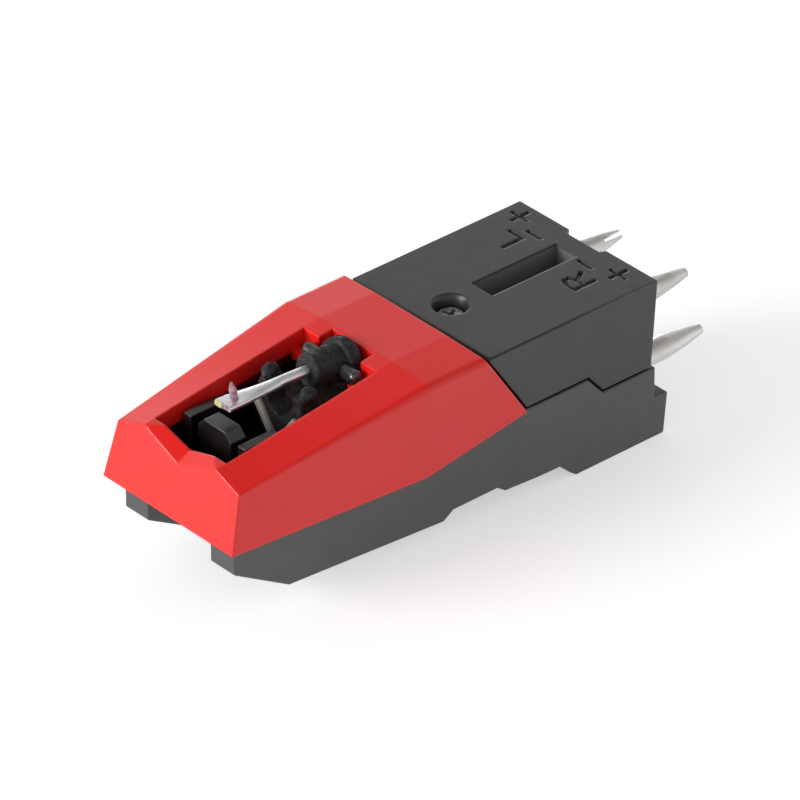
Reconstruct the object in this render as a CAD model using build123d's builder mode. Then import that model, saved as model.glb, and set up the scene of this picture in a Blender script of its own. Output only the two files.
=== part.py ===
from build123d import *
import os

os.makedirs("parts", exist_ok=True)

# Overall sizes. Lengths run back from the front face of the holder, heights up from the rear foot.
overall_length = 31.5
body_length = 28.0
body_width = 10.0
cover_height = 9.1

# Named clearances
slide_gap = 0.12
under_gap = 0.14
joint_gap = 0.2
seam_gap = 0.09
pin_fit = 0.02
rubber_fit = 0.02
tip_fit = 0.01

# Stylus holder
shell_width = 10.6
shell_front_half = 4.77
shell_lip_half = 4.45
shell_front_z = 4.64
shell_lip_z = 7.68
shell_peak_z = 8.2
shell_peak_y = 0.86
shell_full_y = 12.0
shell_side_z = 9.4
shell_top_z = 9.62
shell_front_round = 0.12
shell_rear_round = 0.4
shell_wall = 0.62
shell_roof = 0.96
shell_front_wall = 0.74
shell_low_y = 11.8
shell_low_z = 4.26
shell_rear_low_y = 18.4
shell_rear_low_z = 5.28
joint_top_y = 15.85
window_half = 2.64
window_front_y = 1.5
window_rear_y = 10.95
notch_half = 1.52
notch_rear_y = 11.8
valley_y = 0.7
valley_z = 7.39
valley_rise = 0.5
valley_slope = 0.28
lug_length = 0.56
lug_inner_x = 1.45
lug_reach = 1.3
lug_height = 0.45

# Mount base
rail_front_y = 0.74
rail_front_half = 4.06
rail_inner_half = 2.32
rail_full_y = 19.5
rail_nose_z = 2.94
rail_toe_y = 4.0
rail_toe_z = 1.06
foot_front_y = 21.95
edge_round = 0.1
channel_rear_y = 18.4
channel_roof_z = 3.8
web_front_y = 1.6
tray_floor_z = 4.7
tray_wall = 0.75
tray_top_z = 6.4
tray_front_y = 1.7
tray_gap = 0.18
tray_front_half = shell_front_half - shell_wall - 2 * tray_gap
tray_rear_half = shell_width / 2 - shell_wall - tray_gap
tray_rear_y = 15.0
split_high_z = 5.18
split_low_z = 4.06
split_step_y = 22.7
split_step_run = 0.98
base_rear_y = body_length - 0.82
shelf_z = 2.32
pocket_front_y = 19.4
pocket_rear_y = body_length - 2.1
pocket_floor_z = 1.2
base_wall = 1.0
stop_front_y = 3.0
stop_depth = 0.95
stop_half = 1.22
stop_top_z = 8.5
stop_bevel = 0.45
cheek_x = 2.0
cheek_thick = 0.55
cheek_rear_y = 5.2
cheek_top_z = 8.2

# Cover
cover_rear_y = body_length - 0.81
cover_draft = 0.34
cover_wall = 0.9
slot_front_y = 20.13
slot_length = 5.6
slot_half = 0.77
slot_depth = 2.2
slot_wall = 0.6
screw_y = 18.1
screw_boss_r = 1.45
boss_split_z = 5.1
screw_hole_r = 0.84
screw_rim = 0.17
screw_head_r = 0.78
screw_head_z = 8.55
screw_head_bevel = 0.16
screw_seat_z = 7.95
screw_shank_r = 0.5
screw_end_z = 4.2
rear_notch_half = 1.2
rear_notch_depth = 0.4
rear_notch_height = 1.3
lead_gate_half = 3.0
lead_gate_z = 7.8

# Terminals
pin_r = 0.64
pin_sheet = 0.2
pin_neck_r = 0.46
pin_nose_r = 0.46
pin_tip_r = 0.26
pin_slit = 0.24
pin_seam_angle = 24
pin_seam_tilt = 42
pin_inner_y = body_length - 3.2
pin_shoulder_y = base_rear_y + 0.02
pin_taper_y = overall_length - 2.6
pin_nose_y = overall_length - 1.1
pin_fork = 1.3
upper_pin_x = 2.4
upper_pin_z = 6.55
lower_pin_x = 3.55
lower_pin_z = 3.79
tail_front_y = body_length - 4.6
tail_width = 0.46
tail_thick = 0.14

# Piezo bars, rubber parts and leads
bar_angle = 54
bar_width = 2.1
bar_thick = 0.42
bar_front_y = 6.8
bar_rear_y = 16.0
bar_x = 0.82
bar_z = 6.9
coupler_front_y = 7.05
coupler_rear_y = 8.25
prong_inner_x = 0.96
prong_outer_x = 1.5
prong_top_z = 8.9
yoke_side_half = 1.95
yoke_low_half = 0.9
yoke_low_z = 5.4
saddle_half = 0.8
saddle_side_z = 7.7
saddle_z = 7.3
clamp_front_y = 13.2
clamp_rear_y = 15.0
clamp_half = tray_rear_half - tray_wall - joint_gap / 2
clamp_split_z = 6.9
clamp_top_z = 8.3
lead_width = 0.5
lead_thick = 0.1
lead_end = 1.3
lead_start_y = tail_front_y - 0.5
lead_bend_y = 17.4
lead_drop_y = 20.5
lead_over_x = 1.9
lead_over_z = 7.2
lead_under_x = 2.2
lead_under_z = 5.9
lead_drop_x = 2.9
lead_drop_z = 4.95
foot_length = 1.4

# Stylus lever
pivot_y = 10.45
pivot_z = 8.9
pivot_r = 0.38
pivot_half = 1.97
pivot_dome = 0.24
sleeve_pitch = 9
sleeve_r = 0.98
sleeve_front_r = 0.86
sleeve_front = 1.65
sleeve_shoulder = -0.22
sleeve_rear_r = 1.22
sleeve_rear = -0.92
sleeve_bevel = 0.1
lever_pitch = 2.7
lever_root_y = 9.5
lever_root_z = 9.11
lever_r = 0.3
lever_round = 2.2
lever_flat_start = 5.3
lever_length = 5.95
lever_flat_width = 1.16
lever_flat_thick = 0.3
tip_back = 0.76
tip_r = 0.2
tip_height = 1.0
tip_point = 0.42
tip_top_r = 0.07
tip_root = 0.3
tip_lean = 15
bead_width = 0.56
bead_x = -0.26
bead_length = 0.14

front_y = -overall_length / 2
ground = Plane((0, front_y, 0))
side = Plane(origin=(0, front_y, 0), x_dir=(0, 1, 0), z_dir=(1, 0, 0))
joint_slope = (shell_rear_low_y - joint_top_y) / (cover_height - shell_rear_low_z)
low_slope = (shell_rear_low_z - shell_low_z) / (shell_rear_low_y - shell_low_y)
lean = shell_peak_y / (shell_peak_z - shell_front_z)
lean_scale = (1 + lean**2) ** 0.5
cover_front_y = joint_top_y + joint_gap
cover_low_y = cover_front_y + (cover_height - split_high_z) * joint_slope


def facing_back(y):
    return Plane(origin=(0, front_y + y, 0), x_dir=(-1, 0, 0), z_dir=(0, 1, 0))


def leaning_front(y):
    return Plane(origin=(0, front_y + y, shell_front_z), x_dir=(-1, 0, 0), z_dir=(0, 1, -lean))


def half_section(plane, points, corner=2, corner_round=0):
    with BuildSketch(plane) as section:
        with BuildLine():
            Polyline(*points)
            mirror(about=Plane.YZ)
        make_face()
        if corner_round > 0:
            height = points[corner][1]
            level = section.vertices().filter_by_position(Axis.Y, height - 0.01, height + 0.01)
            fillet(level.group_by(Axis.X)[0] + level.group_by(Axis.X)[-1], radius=corner_round)
    return section.sketch


shell_front_section = half_section(
    leaning_front(0),
    [
        (0, 0),
        (shell_front_half, 0),
        (shell_lip_half, (shell_lip_z - shell_front_z) * lean_scale),
        (window_half, (shell_peak_z - shell_front_z) * lean_scale),
        (0, (shell_peak_z - shell_front_z) * lean_scale),
    ],
    corner_round=shell_front_round,
)
shell_rear_section = half_section(
    facing_back(shell_full_y),
    [
        (0, shell_low_z),
        (shell_width / 2, shell_low_z),
        (shell_width / 2, shell_side_z),
        (window_half, shell_top_z),
        (0, shell_top_z),
    ],
    corner_round=shell_rear_round,
)
cavity_front_section = half_section(
    leaning_front(shell_front_wall),
    [
        (0, -1),
        (shell_front_half - shell_wall, -1),
        (shell_front_half - shell_wall, 0),
        (shell_lip_half - shell_wall, (shell_lip_z - shell_front_z - shell_roof) * lean_scale),
        (window_half, (shell_peak_z - shell_front_z - shell_roof) * lean_scale),
        (0, (shell_peak_z - shell_front_z - shell_roof) * lean_scale),
    ],
)
cavity_rear_section = half_section(
    facing_back(shell_full_y),
    [
        (0, shell_low_z - 1),
        (shell_width / 2 - shell_wall, shell_low_z - 1),
        (shell_width / 2 - shell_wall, shell_low_z),
        (shell_width / 2 - shell_wall, shell_side_z - shell_roof),
        (window_half, shell_top_z - shell_roof),
        (0, shell_top_z - shell_roof),
    ],
)

# Stylus holder: a thin shell open at the bottom and the back
with BuildPart() as stylus_holder:
    loft([shell_front_section, shell_rear_section], ruled=True)
    extrude(shell_rear_section, amount=shell_rear_low_y + 1 - shell_full_y)
    with BuildSketch(side) as holder_back:
        with BuildLine():
            Polyline(
                (joint_top_y - joint_slope, cover_height + 1),
                (shell_rear_low_y + 3, cover_height + 1),
                (shell_rear_low_y + 3, 0),
                (shell_low_y, 0),
                (shell_low_y, shell_low_z),
                (shell_rear_low_y, shell_rear_low_z),
                close=True,
            )
        make_face()
    extrude(amount=shell_width, both=True, mode=Mode.SUBTRACT)
    loft([cavity_front_section, cavity_rear_section], ruled=True, mode=Mode.SUBTRACT)
    extrude(cavity_rear_section, amount=shell_rear_low_y, mode=Mode.SUBTRACT)
    with BuildSketch(facing_back(valley_y - 1)) as lip_valley:
        with BuildLine():
            Polyline(
                (0, valley_z - valley_rise),
                (window_half, valley_z - valley_rise + window_half * valley_slope),
                (window_half, shell_top_z + 1),
                (0, shell_top_z + 1),
            )
            mirror(about=Plane.YZ)
        make_face()
    extrude(amount=2.5, dir=(0, 1, valley_rise), mode=Mode.SUBTRACT)
    with BuildSketch(ground.offset(shell_peak_z - shell_roof - 0.4)) as window:
        with Locations((0, (window_front_y + window_rear_y) / 2)):
            Rectangle(2 * window_half, window_rear_y - window_front_y)
        with Locations((0, notch_rear_y - 2)):
            Rectangle(2 * notch_half, 4)
    extrude(amount=shell_top_z, mode=Mode.SUBTRACT)
    with BuildSketch(ground.offset(pivot_z - pivot_r - pin_fit)) as lugs:
        with Locations((lug_inner_x + lug_reach / 2, pivot_y), (-lug_inner_x - lug_reach / 2, pivot_y)):
            Rectangle(lug_reach, lug_length)
    extrude(amount=-lug_height)

# Mount base: two rails, a tray for the inner parts, a hollow rear foot and the terminal shelf
with BuildPart() as mount_base:
    with BuildSketch(ground):
        with BuildLine():
            Polyline(
                (0, rail_front_y),
                (rail_front_half, rail_front_y),
                (body_width / 2, rail_full_y),
                (body_width / 2, body_length),
                (0, body_length),
            )
            mirror(about=Plane.YZ)
        make_face()
    extrude(amount=split_high_z)
    with BuildSketch(side):
        with BuildLine():
            Polyline(
                (rail_front_y, shell_front_z - under_gap),
                (rail_front_y, rail_nose_z),
                (rail_toe_y, rail_toe_z),
                (13.5, 0.78),
                (14.1, 1.22),
                (16.85, 1.35),
                (17.35, 1.0),
                (20.85, 0.92),
                (21.5, 0.33),
                (foot_front_y, 0),
                (body_length - 0.22, 0),
                (body_length, shelf_z),
                (base_rear_y, shelf_z),
                (base_rear_y, split_low_z),
                (split_step_y + split_step_run, split_low_z),
                (split_step_y, split_high_z),
                (shell_rear_low_y, split_high_z),
                (shell_rear_low_y, shell_rear_low_z - under_gap),
                (shell_low_y, shell_low_z - under_gap),
                close=True,
            )
        make_face()
    extrude(amount=body_width, both=True, mode=Mode.INTERSECT)
    outer_corners = mount_base.edges().filter_by(Axis.Z).group_by(Axis.Y)
    fillet(outer_corners[0] + outer_corners[-1], radius=edge_round)
    cross_edges = mount_base.edges().filter_by(Axis.X)
    front_cross = cross_edges.filter_by_position(Axis.Y, front_y + rail_front_y + 0.1, front_y + rail_toe_y + 0.1)
    rear_cross = cross_edges.filter_by_position(Axis.Y, front_y + base_rear_y + 0.1, front_y + body_length + 0.1)
    fillet(front_cross.filter_by_position(Axis.Z, 0, 1.5) + rear_cross, radius=edge_round)
    with BuildSketch(ground.offset(channel_roof_z)):
        with BuildLine():
            Polyline(
                (0, tray_front_y),
                (tray_front_half, tray_front_y),
                (tray_rear_half, shell_full_y),
                (tray_rear_half, tray_rear_y),
                (0, tray_rear_y),
            )
            mirror(about=Plane.YZ)
        make_face()
    extrude(amount=tray_top_z - channel_roof_z)
    with BuildSketch(ground.offset(tray_floor_z)):
        with BuildLine():
            Polyline(
                (0, tray_front_y + tray_wall),
                (tray_front_half - tray_wall, tray_front_y + tray_wall),
                (tray_rear_half - tray_wall, shell_full_y),
                (tray_rear_half - tray_wall, pocket_rear_y),
                (0, pocket_rear_y),
            )
            mirror(about=Plane.YZ)
        make_face()
    extrude(amount=tray_top_z, mode=Mode.SUBTRACT)
    with BuildSketch(ground.offset(pocket_floor_z)):
        with Locations((0, (pocket_front_y + pocket_rear_y) / 2)):
            Rectangle(body_width - 2 * base_wall, pocket_rear_y - pocket_front_y)
    extrude(amount=split_high_z, mode=Mode.SUBTRACT)
    with BuildSketch(ground.offset(channel_roof_z)):
        with Locations((0, channel_rear_y / 2)):
            Rectangle(2 * rail_inner_half, channel_rear_y)
    extrude(amount=-channel_roof_z, mode=Mode.SUBTRACT)
    with BuildSketch(ground.offset(channel_roof_z)):
        with Locations((0, web_front_y / 2)):
            Rectangle(2 * rail_inner_half, web_front_y)
    extrude(amount=tray_floor_z, mode=Mode.SUBTRACT)
    with BuildSketch(facing_back(stop_front_y)):
        with BuildLine():
            Polyline(
                (0, tray_floor_z),
                (stop_half, tray_floor_z),
                (stop_half, stop_top_z - stop_bevel),
                (stop_half - stop_bevel, stop_top_z),
                (0, stop_top_z),
            )
            mirror(about=Plane.YZ)
        make_face()
    extrude(amount=stop_depth)
    with BuildSketch(ground.offset(tray_floor_z)):
        for x in (-cheek_x, cheek_x):
            with Locations((x, (stop_front_y + cheek_rear_y) / 2)):
                Rectangle(cheek_thick, cheek_rear_y - stop_front_y)
    extrude(amount=cheek_top_z - tray_floor_z)
    with BuildSketch(ground.offset(tray_floor_z)):
        with Locations((0, screw_y)):
            Circle(screw_boss_r)
    extrude(amount=boss_split_z - tray_floor_z)
    with BuildSketch(ground.offset(boss_split_z)):
        with Locations((0, screw_y)):
            Circle(screw_shank_r + pin_fit)
    extrude(amount=screw_end_z - pin_fit - boss_split_z, mode=Mode.SUBTRACT)
    for x in (-lower_pin_x, lower_pin_x):
        with BuildSketch(facing_back(pocket_rear_y - 1.4)):
            with Locations((x, lower_pin_z)):
                Circle(pin_neck_r + pin_fit)
        extrude(amount=3.4, mode=Mode.SUBTRACT)

# Cover: a hollow box with a slanted front, a guide slot, a screw boss and a notch in the rear edge
with BuildPart() as cover:
    with BuildSketch(side):
        with BuildLine():
            Polyline(
                (cover_front_y, cover_height),
                (cover_rear_y, cover_height),
                (cover_rear_y - cover_draft, split_low_z + seam_gap),
                (split_step_y + split_step_run, split_low_z + seam_gap),
                (split_step_y, split_high_z + seam_gap),
                (cover_low_y, split_high_z + seam_gap),
                close=True,
            )
        make_face()
    extrude(amount=body_width / 2, both=True)
    fillet(cover.faces().sort_by(Axis.Z)[-1].edges(), radius=edge_round)
    with BuildSketch(side):
        with BuildLine():
            Polyline(
                (cover_front_y + cover_wall * 1.2, cover_height - cover_wall),
                (pocket_rear_y, cover_height - cover_wall),
                (pocket_rear_y, 0),
                (cover_low_y + cover_wall * 1.2, 0),
                (cover_low_y + cover_wall * 1.2, split_high_z),
                close=True,
            )
        make_face()
    extrude(amount=body_width / 2 - cover_wall, both=True, mode=Mode.SUBTRACT)
    with BuildSketch(facing_back(cover_front_y)):
        with Locations((0, (split_high_z + lead_gate_z) / 2)):
            Rectangle(2 * lead_gate_half, lead_gate_z - split_high_z)
    extrude(amount=5, mode=Mode.SUBTRACT)
    with BuildSketch(ground.offset(cover_height - cover_wall)):
        with Locations((0, screw_y)):
            Circle(screw_boss_r)
    extrude(amount=boss_split_z + seam_gap - cover_height + cover_wall)
    with BuildSketch(ground.offset(cover_height - cover_wall)):
        with Locations((0, slot_front_y + slot_length / 2)):
            Rectangle(2 * slot_half + 2 * slot_wall, slot_length + 2 * slot_wall)
    extrude(amount=cover_wall - slot_depth - slot_wall)
    with BuildSketch(ground.offset(cover_height)):
        with Locations((0, slot_front_y + slot_length / 2)):
            Rectangle(2 * slot_half, slot_length)
    extrude(amount=-slot_depth, mode=Mode.SUBTRACT)
    with BuildSketch(ground.offset(cover_height)):
        with Locations((0, screw_y)):
            Circle(screw_hole_r)
    extrude(amount=screw_seat_z - cover_height, mode=Mode.SUBTRACT)
    with BuildSketch(ground.offset(screw_seat_z)):
        with Locations((0, screw_y)):
            Circle(screw_shank_r + pin_fit)
    extrude(amount=-screw_seat_z, mode=Mode.SUBTRACT)
    rim = cover.faces().sort_by(Axis.Z)[-1].edges().filter_by(GeomType.CIRCLE)
    chamfer(rim, length=screw_rim)
    with BuildSketch(ground.offset(cover_height)):
        with BuildLine():
            Polyline(
                (0, cover_rear_y - rear_notch_depth),
                (rear_notch_half, cover_rear_y - rear_notch_depth),
                (rear_notch_half + rear_notch_depth / 2, cover_rear_y),
                (0, cover_rear_y),
            )
            mirror(about=Plane.YZ)
        make_face()
    extrude(amount=-rear_notch_height, mode=Mode.SUBTRACT)
    for x, z in ((upper_pin_x, upper_pin_z), (lower_pin_x, lower_pin_z)):
        with BuildSketch(facing_back(pocket_rear_y - 1.4)):
            with Locations((x, z), (-x, z)):
                Circle(pin_neck_r + pin_fit)
        extrude(amount=3.4, mode=Mode.SUBTRACT)

# Cover screw
with BuildPart() as cover_screw:
    with BuildSketch(ground.offset(screw_seat_z)):
        with Locations((0, screw_y)):
            Circle(screw_head_r)
    extrude(amount=screw_head_z - screw_seat_z)
    chamfer(cover_screw.edges().sort_by(Axis.Z)[-1], length=screw_head_bevel)
    with BuildSketch(ground.offset(screw_seat_z)):
        with Locations((0, screw_y)):
            Circle(screw_shank_r)
    extrude(amount=screw_end_z - screw_seat_z)

cover.part.label = "cover"
export_step(cover.part, "parts/cover.step")
cover_screw.part.label = "cover_screw"
export_step(cover_screw.part, "parts/cover_screw.step")
stylus_holder.part.label = "stylus_holder"
export_step(stylus_holder.part, "parts/stylus_holder.step")
mount_base.part.label = "mount_base"
export_step(mount_base.part, "parts/mount_base.step")

# Four terminals rolled from strip, each with an open seam, a forked tip and a flat tail inside
for side_sign, side_name in ((-1, "left"), (1, "right")):
    for row, x, z in (("upper", upper_pin_x, upper_pin_z), ("lower", lower_pin_x, lower_pin_z)):
        centre = (side_sign * x, front_y, z)
        across = Plane(origin=centre, x_dir=(0, 1, 0), z_dir=(-side_sign, 0, 0))
        seam_middle = Vector(side_sign, 0, 0).rotate(Axis.Y, -side_sign * pin_seam_tilt)
        seam_normal = Vector(0, 1, 0).cross(seam_middle.rotate(Axis.Y, pin_seam_angle / 2))
        with BuildPart() as terminal:
            with BuildSketch(Plane(origin=centre, x_dir=(0, 1, 0), z_dir=seam_normal)):
                with BuildLine():
                    Polyline(
                        (pin_inner_y, pin_neck_r - pin_sheet),
                        (pin_inner_y, pin_neck_r),
                        (pin_shoulder_y, pin_neck_r),
                        (pin_shoulder_y, pin_r),
                        (pin_taper_y, pin_r),
                        (pin_nose_y, pin_nose_r),
                        (overall_length, pin_tip_r),
                        (overall_length, pin_tip_r - pin_sheet),
                        (pin_nose_y, pin_neck_r - pin_sheet),
                        close=True,
                    )
                make_face()
            revolve(axis=Axis(centre, (0, 1, 0)), revolution_arc=360 - pin_seam_angle)
            with BuildSketch(across.offset(pin_neck_r - pin_sheet + pin_fit)):
                with Locations(((tail_front_y + pin_inner_y) / 2 + 0.2, 0)):
                    Rectangle(pin_inner_y - tail_front_y + 0.4, tail_width)
            extrude(amount=tail_thick)
            with BuildSketch(Plane(origin=centre, x_dir=(0, 1, 0), z_dir=seam_middle)):
                with Locations((overall_length, 0)):
                    Rectangle(2 * pin_fork, pin_slit)
            extrude(amount=2 * pin_r, both=True, mode=Mode.SUBTRACT)
        terminal.part.label = f"terminal_{side_name}_{row}"
        export_step(terminal.part, f"parts/terminal_{side_name}_{row}.step")

# Piezo bars, one on each side, leaning outward
def bar_section(fit):
    with BuildSketch(facing_back(bar_front_y)) as section:
        for sign in (-1, 1):
            with Locations((sign * bar_x, bar_z)):
                Rectangle(bar_width + 2 * fit, bar_thick + 2 * fit, rotation=sign * bar_angle)
    return section.sketch


bar_faces = bar_section(0).faces().sort_by(Axis.X)
for bar_face, side_name in zip(bar_faces, ("left", "right")):
    with BuildPart() as bar:
        extrude(bar_face, amount=bar_rear_y - bar_front_y)
    bar.part.label = f"piezo_bar_{side_name}"
    export_step(bar.part, f"parts/piezo_bar_{side_name}.step")
bar_slots = bar_section(rubber_fit)

# Coupler: rubber yoke on the front of both bars with a prong on each side of the lever
with BuildPart() as coupler:
    with BuildSketch(facing_back(coupler_front_y)):
        with BuildLine():
            Polyline(
                (0, yoke_low_z),
                (yoke_low_half, yoke_low_z),
                (yoke_side_half, bar_z),
                (prong_outer_x, prong_top_z),
                (prong_inner_x, prong_top_z),
                (saddle_half, saddle_side_z),
                (0, saddle_z),
            )
            mirror(about=Plane.YZ)
        make_face()
    extrude(amount=coupler_rear_y - coupler_front_y)
    extrude(bar_slots, amount=bar_rear_y - bar_front_y, mode=Mode.SUBTRACT)

# Rear clamp in two halves
with BuildPart() as clamp_lower:
    with BuildSketch(ground.offset(tray_floor_z + seam_gap)):
        with Locations((0, (clamp_front_y + clamp_rear_y) / 2)):
            Rectangle(2 * clamp_half, clamp_rear_y - clamp_front_y)
    extrude(amount=clamp_split_z - tray_floor_z - seam_gap)
    extrude(bar_slots, amount=bar_rear_y - bar_front_y, mode=Mode.SUBTRACT)
with BuildPart() as clamp_upper:
    with BuildSketch(ground.offset(clamp_split_z + seam_gap)):
        with Locations((0, (clamp_front_y + clamp_rear_y) / 2)):
            Rectangle(2 * clamp_half, clamp_rear_y - clamp_front_y)
    extrude(amount=clamp_top_z - clamp_split_z - seam_gap)
    extrude(bar_slots, amount=bar_rear_y - bar_front_y, mode=Mode.SUBTRACT)
coupler.part.label = "coupler"
export_step(coupler.part, "parts/coupler.step")
clamp_lower.part.label = "bar_clamp_lower"
export_step(clamp_lower.part, "parts/bar_clamp_lower.step")
clamp_upper.part.label = "bar_clamp_upper"
export_step(clamp_upper.part, "parts/bar_clamp_upper.step")

# Foil leads: a foot on each face of a bar, then a strip to the tail of a terminal
tail_face = pin_neck_r - pin_sheet + tail_thick + 2 * pin_fit + lead_thick / 2
for side_sign, side_name in ((-1, "left"), (1, "right")):
    bar_centre = (side_sign * bar_x, front_y + bar_rear_y, bar_z)
    routes = {
        "upper": (
            -1,
            [
                (lead_over_x, lead_bend_y, lead_over_z),
                (upper_pin_x - tail_face, lead_start_y, upper_pin_z),
            ],
        ),
        "lower": (
            1,
            [
                (lead_under_x, lead_bend_y, lead_under_z),
                (lead_drop_x, lead_drop_y, lead_drop_z),
                (lower_pin_x - tail_face, lead_start_y, lower_pin_z),
            ],
        ),
    }
    for lead_name, (face_sign, route) in routes.items():
        face_normal = Vector(side_sign * face_sign, 0, 0).rotate(Axis.Y, side_sign * (90 - bar_angle))
        bar_plane = Plane(origin=bar_centre, x_dir=(0, 1, 0), z_dir=face_normal)
        foot_plane = bar_plane.offset(bar_thick / 2 + pin_fit / 2)
        start = foot_plane.offset(lead_thick / 2).from_local_coords(Vector(foot_length / 4, 0, 0))
        stations = [Vector(side_sign * x, front_y + y, z) for x, y, z in route]
        stations.append(stations[-1] + Vector(0, lead_end, 0))
        with BuildPart() as lead:
            with BuildLine() as path:
                Polyline(start, *stations)
            with BuildSketch(Plane(origin=start, x_dir=(0, 0, 1), z_dir=stations[0] - start)):
                Rectangle(lead_width, lead_thick)
            sweep(path=path.wires()[0], transition=Transition.RIGHT)
            with BuildSketch(foot_plane):
                Rectangle(foot_length, lead_width)
            extrude(amount=lead_thick)
        lead.part.label = f"lead_{side_name}_{lead_name}"
        export_step(lead.part, f"parts/lead_{side_name}_{lead_name}.step")

# Stylus lever: rubber sleeve on a pivot pin, aluminium cantilever, gem and its adhesive bead
sleeve_axis = Plane((0, front_y + pivot_y, pivot_z)).rotated((90 - sleeve_pitch, 0, 0))
lever_axis = Plane((0, front_y + lever_root_y, lever_root_z)).rotated((90 - lever_pitch, 0, 0))

with BuildPart() as sleeve:
    with BuildSketch(Plane(origin=sleeve_axis.origin, x_dir=sleeve_axis.z_dir, z_dir=(1, 0, 0))):
        with BuildLine():
            Polyline(
                (sleeve_rear, 0),
                (sleeve_rear, sleeve_rear_r - sleeve_bevel),
                (sleeve_rear + sleeve_bevel, sleeve_rear_r),
                (sleeve_shoulder, sleeve_rear_r),
                (sleeve_shoulder, sleeve_r),
                (sleeve_front - sleeve_bevel, sleeve_front_r),
                (sleeve_front, sleeve_front_r - sleeve_bevel),
                (sleeve_front, 0),
                close=True,
            )
        make_face()
    revolve(axis=Axis(sleeve_axis.origin, sleeve_axis.z_dir))
    with BuildSketch(lever_axis):
        Circle(lever_r + rubber_fit)
    extrude(amount=3, mode=Mode.SUBTRACT)
    with BuildSketch(Plane(origin=(0, front_y + pivot_y, pivot_z), z_dir=(1, 0, 0))):
        Circle(pivot_r + rubber_fit)
    extrude(amount=3, both=True, mode=Mode.SUBTRACT)

with BuildPart() as pivot_pin:
    with BuildSketch(Plane(origin=(0, front_y + pivot_y, pivot_z), z_dir=(1, 0, 0))):
        Circle(pivot_r)
    extrude(amount=pivot_half, both=True)
    fillet(pivot_pin.edges().filter_by(GeomType.CIRCLE), radius=pivot_dome)

tip_axis = Plane(lever_axis.offset(lever_length - tip_back).location).rotated((tip_lean - 90, 0, 0))
with BuildPart() as cantilever:
    with BuildSketch(lever_axis):
        Circle(lever_r)
    extrude(amount=lever_round)
    with BuildSketch(lever_axis.offset(lever_round)):
        Circle(lever_r)
    with BuildSketch(lever_axis.offset(lever_flat_start)):
        RectangleRounded(lever_flat_width, lever_flat_thick, 0.12)
    loft()
    with BuildSketch(lever_axis.offset(lever_flat_start)):
        RectangleRounded(lever_flat_width, lever_flat_thick, 0.12)
    extrude(amount=lever_length - lever_flat_start)
    with BuildSketch(tip_axis):
        Circle(tip_r + tip_fit)
    extrude(amount=1, both=True, mode=Mode.SUBTRACT)

with BuildPart() as stylus_tip:
    with BuildSketch(tip_axis):
        Circle(tip_r)
    extrude(amount=lever_flat_thick / 2 + tip_height - tip_point)
    with BuildSketch(tip_axis):
        Circle(tip_r)
    extrude(amount=-tip_root)
    with BuildSketch(tip_axis.offset(lever_flat_thick / 2 + tip_height - tip_point)):
        Circle(tip_r)
    with BuildSketch(tip_axis.offset(lever_flat_thick / 2 + tip_height)):
        Circle(tip_top_r)
    loft()

with BuildPart() as tip_bead:
    with BuildSketch(lever_axis.offset(lever_length)):
        with Locations((bead_x, 0)):
            RectangleRounded(bead_width, lever_flat_thick, 0.12)
    extrude(amount=bead_length)
    chamfer(tip_bead.faces().sort_by(Axis.Y)[0].edges(), length=bead_length / 2)

sleeve.part.label = "lever_sleeve"
export_step(sleeve.part, "parts/lever_sleeve.step")
pivot_pin.part.label = "pivot_pin"
export_step(pivot_pin.part, "parts/pivot_pin.step")
cantilever.part.label = "cantilever"
export_step(cantilever.part, "parts/cantilever.step")
stylus_tip.part.label = "stylus_tip"
export_step(stylus_tip.part, "parts/stylus_tip.step")
tip_bead.part.label = "tip_bead"
export_step(tip_bead.part, "parts/tip_bead.step")
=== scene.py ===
import bpy
import bmesh
import math
from mathutils import Matrix, Vector, noise


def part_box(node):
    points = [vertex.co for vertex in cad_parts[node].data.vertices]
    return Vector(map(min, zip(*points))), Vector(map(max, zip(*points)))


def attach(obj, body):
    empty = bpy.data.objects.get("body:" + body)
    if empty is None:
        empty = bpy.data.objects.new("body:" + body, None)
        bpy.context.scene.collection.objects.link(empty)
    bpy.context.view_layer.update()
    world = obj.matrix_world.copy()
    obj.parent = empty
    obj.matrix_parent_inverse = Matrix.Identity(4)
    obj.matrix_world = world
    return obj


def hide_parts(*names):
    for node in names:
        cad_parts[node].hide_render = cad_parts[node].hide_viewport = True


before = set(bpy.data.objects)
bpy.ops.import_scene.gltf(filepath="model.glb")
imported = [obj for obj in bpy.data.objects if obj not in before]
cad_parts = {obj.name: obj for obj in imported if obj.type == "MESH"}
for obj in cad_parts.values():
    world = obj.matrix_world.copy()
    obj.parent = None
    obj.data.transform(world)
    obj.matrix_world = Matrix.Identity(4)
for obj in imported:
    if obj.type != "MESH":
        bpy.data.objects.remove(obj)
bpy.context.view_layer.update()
MM = 0.001

# Camera: the photograph's viewing angle, with a long lens
azimuth = math.radians(48.603)
elevation = math.radians(32.655)
distance = 413.3 * MM
target = Vector((0.0, -1.75, 5.0)) * MM
toward_camera = Vector((
    math.sin(azimuth) * math.cos(elevation),
    -math.cos(azimuth) * math.cos(elevation),
    math.sin(elevation),
))
lens_data = bpy.data.cameras.new("camera")
lens_data.sensor_width = 36.0
lens_data.lens = 382.5
lens_data.shift_x = 0.0158
lens_data.shift_y = 0.0065
lens_data.clip_start = 0.05
lens_data.clip_end = 20.0
camera = bpy.data.objects.new("camera", lens_data)
bpy.context.scene.collection.objects.link(camera)
camera.location = target + toward_camera * distance
camera.rotation_mode = "QUATERNION"
camera.rotation_quaternion = (-toward_camera).to_track_quat("-Z", "Y")
bpy.context.scene.camera = camera
bpy.context.scene.view_settings.view_transform = "Standard"


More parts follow.
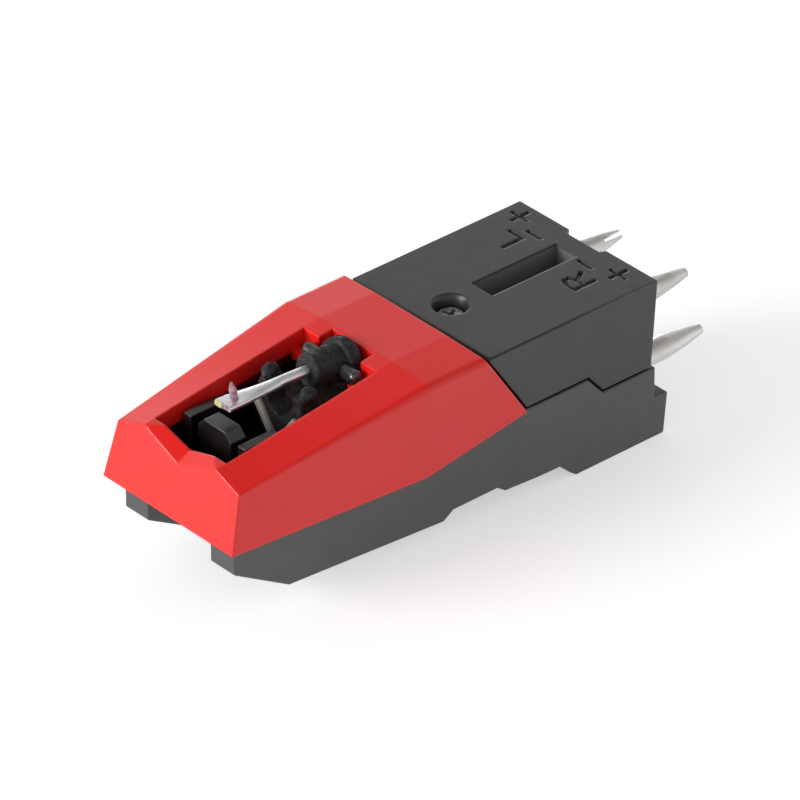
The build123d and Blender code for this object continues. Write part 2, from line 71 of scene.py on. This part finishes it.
# Material helpers
def new_material(name, color, rough, metal=0.0, ior=1.5):
    """A principled material with plain values on its sockets."""
    made = bpy.data.materials.new(name)
    made.use_nodes = True
    tree = made.node_tree
    shader = tree.nodes["Principled BSDF"]
    shader.inputs["Base Color"].default_value = (*color, 1)
    shader.inputs["Roughness"].default_value = rough
    shader.inputs["Metallic"].default_value = metal
    shader.inputs["IOR"].default_value = ior
    return made, tree, shader


def position(tree):
    """The point on the surface, in the frame's metres."""
    coords = tree.nodes.new("ShaderNodeTexCoord")
    return coords.outputs["Object"]


def noise_of(tree, size_mm, detail=3.0, rough=0.5, stretch=(1, 1, 1)):
    """Cloudy noise whose blotches are about size_mm wide."""
    mapping = tree.nodes.new("ShaderNodeMapping")
    mapping.inputs["Scale"].default_value = stretch
    tree.links.new(position(tree), mapping.inputs["Vector"])
    tex = tree.nodes.new("ShaderNodeTexNoise")
    tex.inputs["Scale"].default_value = 1.0 / (size_mm * MM)
    tex.inputs["Detail"].default_value = detail
    tex.inputs["Roughness"].default_value = rough
    tree.links.new(mapping.outputs["Vector"], tex.inputs["Vector"])
    return tex.outputs["Fac"]


def ramp(tree, fac, stops):
    """A colour ramp through (position, colour) stops."""
    made = tree.nodes.new("ShaderNodeValToRGB")
    elements = made.color_ramp.elements
    while len(elements) < len(stops):
        elements.new(0.5)
    for element, (place, color) in zip(elements, stops):
        element.position = place
        element.color = (*color, 1)
    tree.links.new(fac, made.inputs["Fac"])
    return made.outputs["Color"]


def remap(tree, value, low_in, high_in, low_out, high_out):
    """A smooth change from low_out to high_out."""
    made = tree.nodes.new("ShaderNodeMapRange")
    made.interpolation_type = "SMOOTHSTEP"
    made.inputs["From Min"].default_value = low_in
    made.inputs["From Max"].default_value = high_in
    made.inputs["To Min"].default_value = low_out
    made.inputs["To Max"].default_value = high_out
    tree.links.new(value, made.inputs["Value"])
    return made.outputs["Result"]


def math_of(tree, operation, first, second):
    """One math step on two sockets, or on a socket and a number."""
    made = tree.nodes.new("ShaderNodeMath")
    made.operation = operation
    for socket, value in zip(made.inputs, (first, second)):
        if isinstance(value, (int, float)):
            socket.default_value = value
        else:
            tree.links.new(value, socket)
    return made.outputs["Value"]


def mix_color(tree, fac, first, second):
    """first where fac is 0, second where it is 1. Each is a colour or a socket."""
    made = tree.nodes.new("ShaderNodeMixRGB")
    tree.links.new(fac, made.inputs["Fac"])
    for name, value in (("Color1", first), ("Color2", second)):
        if isinstance(value, tuple):
            made.inputs[name].default_value = (*value, 1)
        else:
            tree.links.new(value, made.inputs[name])
    return made.outputs["Color"]


def shades(color, spread):
    """A darker and a lighter shade of a colour."""
    return [tuple(c * (1 - spread) for c in color), tuple(c * (1 + spread) for c in color)]


def vary_color(tree, shader, fac, dark, light):
    tree.links.new(ramp(tree, fac, [(0.3, dark), (0.7, light)]), shader.inputs["Base Color"])


def vary_rough(tree, shader, fac, low, high):
    tree.links.new(remap(tree, fac, 0.3, 0.7, low, high), shader.inputs["Roughness"])


def bump(tree, shader, fac, depth_mm, edge_mm=0.0):
    """Relief depth_mm deep, over edges rounded by edge_mm."""
    relief = tree.nodes.new("ShaderNodeBump")
    relief.inputs["Strength"].default_value = 1.0
    relief.inputs["Distance"].default_value = depth_mm * MM
    tree.links.new(fac, relief.inputs["Height"])
    if edge_mm:
        rounding = tree.nodes.new("ShaderNodeBevel")
        rounding.samples = 6
        rounding.inputs["Radius"].default_value = edge_mm * MM
        tree.links.new(rounding.outputs["Normal"], relief.inputs["Normal"])
    tree.links.new(relief.outputs["Normal"], shader.inputs["Normal"])


def inside_box(tree, lo, hi, soft):
    """1 inside a box of the frame given in mm, 0 outside, with soft mm between."""
    split = tree.nodes.new("ShaderNodeSeparateXYZ")
    tree.links.new(position(tree), split.inputs["Vector"])
    result = None
    for axis in range(3):
        place = split.outputs[axis]
        rise = remap(tree, place, (lo[axis] - soft) * MM, lo[axis] * MM, 0, 1)
        fall = remap(tree, place, hi[axis] * MM, (hi[axis] + soft) * MM, 1, 0)
        both = math_of(tree, "MULTIPLY", rise, fall)
        result = both if result is None else math_of(tree, "MULTIPLY", result, both)
    return result


def crevice_shade(tree, reach_mm, darkest):
    """Painted shade: 1 on open surfaces, down to darkest in narrow gaps and grooves."""
    occlusion = tree.nodes.new("ShaderNodeAmbientOcclusion")
    occlusion.samples = 6
    occlusion.inputs["Distance"].default_value = reach_mm * MM
    return remap(tree, occlusion.outputs["AO"], 0.15, 0.75, darkest, 1.0)


# Black moulded plastic: a fine eroded grain, faint flow marks, painted shade in narrow gaps and grooves,
# and a painted lighting tone inside a box
def black_plastic(name, tone, rough, ior, painted_lighting_box, painted_lighting_tone, inner_rough):
    made, tree, shader = new_material(name, (tone, tone, tone), rough, 0.0, ior)
    cool = (tone, tone * 1.01, tone * 1.01)
    darker, lighter = shades(cool, 0.09)
    flow = noise_of(tree, 4.0, 4, 0.6, (1, 0.35, 1))
    outer = ramp(tree, flow, [(0.3, darker), (0.7, lighter)])
    # Painted lighting: inside the box a flat tone replaces the plastic's colour, darker for painted
    # shade, lighter for painted light
    inside = inside_box(tree, *painted_lighting_box)
    color = mix_color(tree, inside, outer, (painted_lighting_tone, painted_lighting_tone, painted_lighting_tone))
    # Painted shade: the colour falls to black in narrow gaps and grooves
    with_painted_gap_shade = mix_color(tree, crevice_shade(tree, 0.18, 0.05), (0.0, 0.0, 0.0), color)
    tree.links.new(with_painted_gap_shade, shader.inputs["Base Color"])
    skin = remap(tree, noise_of(tree, 0.9, 3), 0.3, 0.7, rough * 0.9, rough * 1.1)
    smooth = math_of(tree, "MULTIPLY", inside, inner_rough - rough)
    tree.links.new(math_of(tree, "ADD", skin, smooth), shader.inputs["Roughness"])
    bump(tree, shader, noise_of(tree, 0.09, 2), 0.0016, 0.14)
    return made


# Painted shade: a near black tone over the tray inside the base
tray_shade_box = ((-3.9, -15.2, 4.5), (3.9, -1.0, 9.0), 0.2)
# Painted light: a much lighter tone on the walls of the cover's slot
slot_light_box = ((-0.8, 4.35, 6.8), (0.8, 10.0, 8.98), 0.04)
base_plastic = black_plastic(
    "black_base_plastic", tone=0.029, rough=0.4, ior=1.75,
    painted_lighting_box=tray_shade_box, painted_lighting_tone=0.003, inner_rough=0.36,
)
cover_plastic = black_plastic(
    "black_cover_plastic", tone=0.023, rough=0.38, ior=1.6,
    painted_lighting_box=slot_light_box, painted_lighting_tone=0.15, inner_rough=0.5,
)

# Glossy red shell, with the faint waviness of a moulding
red_plastic, tree, shader = new_material("red_shell_plastic", (0.86, 0.018, 0.014), 0.22)
vary_color(tree, shader, noise_of(tree, 5.0, 2), (0.84, 0.017, 0.013), (0.88, 0.019, 0.015))
vary_rough(tree, shader, noise_of(tree, 2.5, 2), 0.2, 0.25)
bump(tree, shader, noise_of(tree, 1.6, 1), 0.0012, 0.16)

# Rubber of the sleeve, the coupler and the clamps
rubber, tree, shader = new_material("black_rubber", (0.014, 0.014, 0.015), 0.65, 0.0, 1.42)
rubber_spots = noise_of(tree, 0.25, 5, 0.65)
vary_color(tree, shader, rubber_spots, (0.004, 0.004, 0.004), (0.03, 0.03, 0.031))
vary_rough(tree, shader, noise_of(tree, 0.35, 3), 0.5, 0.85)
bump(tree, shader, rubber_spots, 0.02)

# Tinned strip of the terminals: dull, drawn along its length
tin, tree, shader = new_material("tinned_strip", (0.68, 0.66, 0.63), 0.3, 1.0)
vary_color(tree, shader, noise_of(tree, 0.5, 4, 0.6, (1, 0.15, 1)), (0.5, 0.48, 0.46), (0.78, 0.77, 0.75))
vary_rough(tree, shader, noise_of(tree, 0.35, 3, 0.5, (1, 0.12, 1)), 0.26, 0.42)
bump(tree, shader, noise_of(tree, 0.2, 3, 0.6, (1, 0.08, 1)), 0.006, 0.03)

# Drawn aluminium of the lever
aluminium, tree, shader = new_material("lever_aluminium", (0.8, 0.8, 0.81), 0.34, 1.0)
vary_color(tree, shader, noise_of(tree, 0.3, 4, 0.6, (1, 0.2, 1)), (0.66, 0.66, 0.68), (0.88, 0.88, 0.89))
vary_rough(tree, shader, noise_of(tree, 0.2, 3, 0.5, (1, 0.1, 1)), 0.28, 0.46)
bump(tree, shader, noise_of(tree, 0.12, 4, 0.6, (1, 0.06, 1)), 0.01)

# Blackened steel of the cover screw
steel, tree, shader = new_material("dark_steel", (0.4, 0.4, 0.41), 0.4, 0.55)
vary_color(tree, shader, noise_of(tree, 0.3, 4), (0.26, 0.26, 0.265), (0.55, 0.55, 0.56))
vary_rough(tree, shader, noise_of(tree, 0.25, 3), 0.26, 0.45)
bump(tree, shader, noise_of(tree, 0.12, 3), 0.01, 0.03)

# Synthetic gem of the stylus
gem, tree, shader = new_material("rose_gem", (0.62, 0.34, 0.42), 0.12)
vary_color(tree, shader, noise_of(tree, 0.3, 2), (0.5, 0.25, 0.34), (0.72, 0.45, 0.52))
vary_rough(tree, shader, noise_of(tree, 0.2, 2), 0.08, 0.2)
shader.inputs["Transmission Weight"].default_value = 0.5
shader.inputs["IOR"].default_value = 1.76
bump(tree, shader, noise_of(tree, 0.15, 2), 0.002)

# Dried adhesive at the tip
adhesive, tree, shader = new_material("pale_adhesive", (0.66, 0.56, 0.28), 0.3)
vary_color(tree, shader, noise_of(tree, 0.25, 3), (0.5, 0.4, 0.16), (0.78, 0.7, 0.45))
vary_rough(tree, shader, noise_of(tree, 0.2, 3), 0.18, 0.36)
bump(tree, shader, noise_of(tree, 0.12, 2), 0.01)

# Piezo bars: dark silvered faces and a pale cut front end
ceramic, tree, shader = new_material("piezo_bar_face", (0.13, 0.12, 0.11), 0.45, 0.2)
dark_faces = ramp(tree, noise_of(tree, 0.3, 4), [(0.3, (0.08, 0.075, 0.07)), (0.7, (0.18, 0.17, 0.155))])
cut_end = inside_box(tree, (-2.5, -9.3, 5.0), (2.5, -8.82, 8.5), 0.06)
tree.links.new(mix_color(tree, cut_end, dark_faces, (0.64, 0.62, 0.57)), shader.inputs["Base Color"])
vary_rough(tree, shader, noise_of(tree, 0.25, 3), 0.32, 0.5)
bump(tree, shader, noise_of(tree, 0.1, 3), 0.004)

# Phosphor bronze foil of the leads
foil, tree, shader = new_material("foil_lead", (0.8, 0.55, 0.3), 0.25, 1.0)
vary_color(tree, shader, noise_of(tree, 0.5, 3), (0.66, 0.42, 0.2), (0.9, 0.66, 0.4))
vary_rough(tree, shader, noise_of(tree, 0.3, 3), 0.18, 0.35)
bump(tree, shader, noise_of(tree, 0.25, 3), 0.01)

# Dark nylon of the pivot pin
nylon, tree, shader = new_material("dark_nylon", (0.03, 0.03, 0.031), 0.16, 0.0, 1.7)
vary_color(tree, shader, noise_of(tree, 0.4, 3), (0.02, 0.02, 0.021), (0.06, 0.06, 0.061))
vary_rough(tree, shader, noise_of(tree, 0.3, 3), 0.12, 0.22)
bump(tree, shader, noise_of(tree, 0.2, 2), 0.004, 0.1)

finish_of = {
    "mount_base": base_plastic,
    "cover": cover_plastic,
    "cover_screw": steel,
    "stylus_holder": red_plastic,
    "pivot_pin": nylon,
    "lever_sleeve": rubber,
    "cantilever": aluminium,
    "stylus_tip": gem,
    "tip_bead": adhesive,
    "coupler": rubber,
    "bar_clamp_lower": rubber,
    "bar_clamp_upper": rubber,
    "piezo_bar_left": ceramic,
    "piezo_bar_right": ceramic,
}
for node_name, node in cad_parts.items():
    usual = tin if node_name.startswith("terminal") else foil
    node.data.materials.clear()
    node.data.materials.append(finish_of.get(node_name, usual))


# Cutters: closed solids that the nodes' modifiers cut away, never shown
def bar_into(mesh_data, start, end, width, top, bottom):
    """Adds an upright block along a line in plan, all in mm."""
    line = Vector(end) - Vector(start)
    length = line.length + width
    turn = Matrix.Rotation(math.atan2(line.y, line.x), 4, "Z")
    middle = (Vector(start) + Vector(end)) / 2
    place = Matrix.Translation(Vector((middle.x, middle.y, (top + bottom) / 2)) * MM)
    size = Matrix.Diagonal((length * MM, width * MM, (top - bottom) * MM, 1))
    bmesh.ops.create_cube(mesh_data, size=1.0, matrix=place @ turn @ size)


def edge_bar_into(mesh_data, start, end, half):
    """Adds a square bar that stands on edge along a line, all in mm."""
    line = Vector(end) - Vector(start)
    on_edge = Matrix.Rotation(math.radians(45), 4, "Z")
    turn = line.to_track_quat("Z", "X").to_matrix().to_4x4() @ on_edge
    place = Matrix.Translation((Vector(start) + Vector(end)) / 2 * MM)
    side_length = half * math.sqrt(2) * MM
    size = Matrix.Diagonal((side_length, side_length, (line.length + half) * MM, 1))
    bmesh.ops.create_cube(mesh_data, size=1.0, matrix=place @ turn @ size)


# Each stroke ends a little lower than the one before, so that crossing strokes share no face
floor_step = 0.002


def block_cutter(name, strokes, width, top, bottom):
    """Strokes in plan as blocks in one hidden object."""
    mesh_data = bmesh.new()
    for index, (start, end) in enumerate(strokes):
        bar_into(mesh_data, start, end, width, top, bottom - index * floor_step)
    return hidden_object(name, mesh_data)


def groove_cutter(name, lines, half):
    """Lines in space as bars on edge in one hidden object."""
    mesh_data = bmesh.new()
    for start, end in lines:
        edge_bar_into(mesh_data, start, end, half)
    return hidden_object(name, mesh_data)


def hidden_object(name, mesh_data):
    mesh = bpy.data.meshes.new(name)
    mesh_data.to_mesh(mesh)
    mesh_data.free()
    made = bpy.data.objects.new(name, mesh)
    bpy.context.scene.collection.objects.link(made)
    made.hide_render = True
    made.hide_viewport = True
    return made


def cut_from(node, cutter):
    """Cuts the cutter from a node, without touching the node's mesh."""
    weld = node.modifiers.new("weld", "WELD")
    weld.merge_threshold = 0.0001 * MM
    cut = node.modifiers.new("cut", "BOOLEAN")
    cut.operation = "DIFFERENCE"
    cut.solver = "EXACT"
    cut.use_self = True
    cut.object = cutter


def chain(*points):
    """The strokes of one line through the points."""
    return list(zip(points, points[1:]))


# Channel marks moulded into the cover, which read from the front: each channel's letter, plus and minus
mark_width = 0.25
mark_depth = 0.11
letter_height = 1.28
letter_width = 1.0
sign_arm = 0.5
minus_arm = 0.42
cover_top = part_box("cover")[1].z / MM


def plus_strokes(x, y):
    return [((x - sign_arm, y), (x + sign_arm, y)), ((x, y - sign_arm), (x, y + sign_arm))]


def minus_strokes(x, y):
    return [((x - minus_arm, y), (x + minus_arm, y))]


def letter_strokes(x, y, points_of_lines):
    """Lines in the letter's own frame, with (0, 0) at its foot and (1, 1) at its far top corner."""
    lines = []
    for points in points_of_lines:
        placed = [(x - u * letter_width, y - v * letter_height) for u, v in points]
        lines += chain(*placed)
    return lines


left_letter = [[(0, 1), (0, 0), (0.9, 0)]]
bowl = [(0, 0), (0, 1), (0.65, 1), (1, 0.86), (1, 0.66), (0.65, 0.5), (0, 0.5)]
leg = [(0.55, 0.5), (1, 0)]
right_letter = [bowl, leg]
marks = (
    plus_strokes(-3.85, 10.38) + minus_strokes(-2.08, 9.74) + letter_strokes(-2.24, 9.1, left_letter)
    + plus_strokes(3.36, 10.34) + minus_strokes(1.62, 9.74) + letter_strokes(3.02, 9.08, right_letter)
)
mark_cutter = block_cutter("mark_cutter", marks, mark_width, cover_top + 0.05, cover_top - mark_depth)
cut_from(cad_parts["cover"], mark_cutter)

# Cross recess of the cover screw
screw_lo, screw_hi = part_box("cover_screw")
screw_x, screw_y = (screw_lo.x + screw_hi.x) / 2 / MM, (screw_lo.y + screw_hi.y) / 2 / MM
screw_top = screw_hi.z / MM
recess_arm = 0.36
recess_turn = math.radians(20)
arm_x, arm_y = recess_arm * math.cos(recess_turn), recess_arm * math.sin(recess_turn)
recess = [
    ((screw_x - arm_x, screw_y - arm_y), (screw_x + arm_x, screw_y + arm_y)),
    ((screw_x + arm_y, screw_y - arm_x), (screw_x - arm_y, screw_y + arm_x)),
]
recess_width = 0.2
recess_depth = 0.3
recess_floor = screw_top - recess_depth
screw_cutter = block_cutter("screw_cutter", recess, recess_width, screw_top + 0.05, recess_floor)
cut_from(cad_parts["cover_screw"], screw_cutter)

# Broken edges along the joint of cover and base, on both sides and across the back
seam_high, seam_low = 5.225, 4.105
seam_y = (1.2, 6.95, 7.93, 11.43)
seam_z = (seam_high, seam_high, seam_low, seam_low)
half_width = 5.0
seam_half = 0.12
seam_lines = []
for side_x in (-half_width, half_width):
    seam_lines += chain(*[(side_x, y, z) for y, z in zip(seam_y, seam_z)])
seam_lines += chain((-half_width, seam_y[-1], seam_low), (half_width, seam_y[-1], seam_low))
seam_cutter = groove_cutter("seam_cutter", seam_lines, seam_half)
cut_from(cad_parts["cover"], seam_cutter)
cut_from(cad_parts["mount_base"], seam_cutter)


# Rubber pieces: the CAD solids with moulded, lumpy surfaces
def soften(source, name, body, voxel, rounds, lump_mm, lump_size_mm, balls=()):
    """A rounded, lumpy copy of a node that stands for it. Each ball is (centre, radii) in mm."""
    shape = bmesh.new()
    shape.from_mesh(source.data)
    for centre, radii in balls:
        ball = Matrix.Translation(Vector(centre) * MM) @ Matrix.Diagonal((*(r * MM for r in radii), 1))
        bmesh.ops.create_icosphere(shape, subdivisions=3, radius=1.0, matrix=ball)
    bmesh.ops.remove_doubles(shape, verts=shape.verts, dist=0.0001 * MM)
    mesh = bpy.data.meshes.new(name)
    shape.to_mesh(mesh)
    shape.free()
    made = bpy.data.objects.new(name, mesh)
    bpy.context.scene.collection.objects.link(made)
    remesh = made.modifiers.new("remesh", "REMESH")
    remesh.mode = "VOXEL"
    remesh.voxel_size = voxel * MM
    smooth = made.modifiers.new("smooth", "SMOOTH")
    smooth.factor = 0.5
    smooth.iterations = rounds
    depsgraph = bpy.context.evaluated_depsgraph_get()
    final = bpy.data.meshes.new_from_object(made.evaluated_get(depsgraph))
    made.modifiers.clear()
    made.data = final
    moved = [v.normal * noise.fractal(v.co / (lump_size_mm * MM), 0.9, 2.0, 3) for v in final.vertices]
    for vertex, move in zip(final.vertices, moved):
        vertex.co += move * lump_mm * MM
    for face in final.polygons:
        face.use_smooth = True
    made.data.materials.clear()
    made.data.materials.append(source.data.materials[0])
    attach(made, body)
    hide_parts(source.name)
    return made


# The two prongs of the coupler end in rounded knobs
prong_knobs = [
    ((-1.42, -8.02, 8.98), (0.4, 0.5, 0.42)),
    ((1.44, -8.08, 8.97), (0.42, 0.48, 0.42)),
]
soften(
    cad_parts["coupler"], "coupler_rubber", "cartridge_body",
    voxel=0.07, rounds=14, lump_mm=0.06, lump_size_mm=0.5, balls=prong_knobs,
)
soften(
    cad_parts["lever_sleeve"], "sleeve_rubber", "sleeve_body",
    voxel=0.055, rounds=2, lump_mm=0.035, lump_size_mm=0.45,
)


# Terminals: each rolled pin is turned about its own line behind the base, so that the fork lies upright
def turn_pin(source, name, turn, start, end, steps):
    """A copy of a terminal whose pin turns between two places along Y, both in mm, and stands for it."""
    shape = bmesh.new()
    shape.from_mesh(source.data)
    bmesh.ops.remove_doubles(shape, verts=shape.verts, dist=0.0001 * MM)
    for step in range(steps + 1):
        place = (start + (end - start) * step / steps) * MM
        everything = shape.verts[:] + shape.edges[:] + shape.faces[:]
        bmesh.ops.bisect_plane(
            shape, geom=everything, plane_co=(0, place, 0), plane_no=(0, 1, 0), dist=0.0001 * MM
        )
    pin = [v for v in shape.verts if v.co.y > start * MM]
    xs = [v.co.x for v in pin if v.co.y > end * MM]
    zs = [v.co.z for v in pin if v.co.y > end * MM]
    centre = Vector(((min(xs) + max(xs)) / 2, 0, (min(zs) + max(zs)) / 2))
    for vertex in pin:
        share = min(1.0, (vertex.co.y / MM - start) / (end - start))
        swing = Matrix.Rotation(turn * share * share * (3 - 2 * share), 3, "Y")
        vertex.co = centre + swing @ (vertex.co - centre)
    mesh = bpy.data.meshes.new(name)
    shape.to_mesh(mesh)
    shape.free()
    made = bpy.data.objects.new(name, mesh)
    bpy.context.scene.collection.objects.link(made)
    for face in mesh.polygons:
        face.use_smooth = True
    crease = made.modifiers.new("creases", "EDGE_SPLIT")
    crease.split_angle = math.radians(35)
    mesh.materials.append(source.data.materials[0])
    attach(made, "cartridge_body")
    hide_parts(source.name)


twist_start = 9.4
twist_end = 11.2
twist_steps = 8
for side, turn_deg in (("left", -90), ("right", 90)):
    for level in ("upper", "lower"):
        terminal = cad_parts[f"terminal_{side}_{level}"]
        name = f"rolled_terminal_{side}_{level}"
        turn_pin(terminal, name, math.radians(turn_deg), twist_start, twist_end, twist_steps)


# Stage: a pale floor that shows as white, and still holds the object's shadow
def seen_ray(tree):
    """1 for camera, glossy and transmission rays."""
    path = tree.nodes.new("ShaderNodeLightPath")
    seen = math_of(tree, "MAXIMUM", path.outputs["Is Camera Ray"], path.outputs["Is Glossy Ray"])
    return math_of(tree, "MAXIMUM", seen, path.outputs["Is Transmission Ray"])


def make_floor(size, lift):
    mesh = bpy.data.meshes.new("floor")
    h = size / 2
    mesh.from_pydata([(-h, -h, 0), (h, -h, 0), (h, h, 0), (-h, h, 0)], [], [(0, 1, 2, 3)])
    made = bpy.data.objects.new("floor", mesh)
    made.location = (0, 0, -0.02 * MM)
    bpy.context.scene.collection.objects.link(made)
    pale, tree, shader = new_material("pale_floor", (0.9, 0.9, 0.9), 0.9)
    shader.inputs["Specular IOR Level"].default_value = 0.0
    shader.inputs["Emission Color"].default_value = (1, 1, 1, 1)
    tree.links.new(math_of(tree, "MULTIPLY", seen_ray(tree), lift), shader.inputs["Emission Strength"])
    mesh.materials.append(pale)


make_floor(4.0, 0.47)


# Light: a bright horizon, a darker ceiling and soft panels
def area_light(name, place, size, power):
    data = bpy.data.lights.new(name, "AREA")
    data.energy = power
    data.size = size
    made = bpy.data.objects.new(name, data)
    made.location = place
    made.rotation_mode = "QUATERNION"
    made.rotation_quaternion = (-Vector(place)).to_track_quat("-Z", "Y")
    bpy.context.scene.collection.objects.link(made)


area_light("key_panel", (-0.2, -0.52, 0.18), 0.3, 2.7)
area_light("rear_panel", (-0.55, 0.4, 0.07), 0.16, 0.2)

# The sky is bright at the horizon and dark above, and a little darker on the right
world = bpy.data.worlds.new("world")
bpy.context.scene.world = world
world.use_nodes = True
sky = world.node_tree
direction = sky.nodes.new("ShaderNodeTexCoord")
split = sky.nodes.new("ShaderNodeSeparateXYZ")
sky.links.new(direction.outputs["Generated"], split.inputs["Vector"])
brightness_by_height = [(0.0, 1.0), (0.4, 0.85), (0.72, 0.42), (1.0, 0.08)]
height_stops = [(height, (level, level, level)) for height, level in brightness_by_height]
height_light = ramp(sky, split.outputs["Z"], height_stops)
right_share = remap(sky, split.outputs["X"], -0.3, 0.7, 1.04, 0.88)
sky.links.new(height_light, sky.nodes["Background"].inputs["Color"])
sky.links.new(right_share, sky.nodes["Background"].inputs["Strength"])
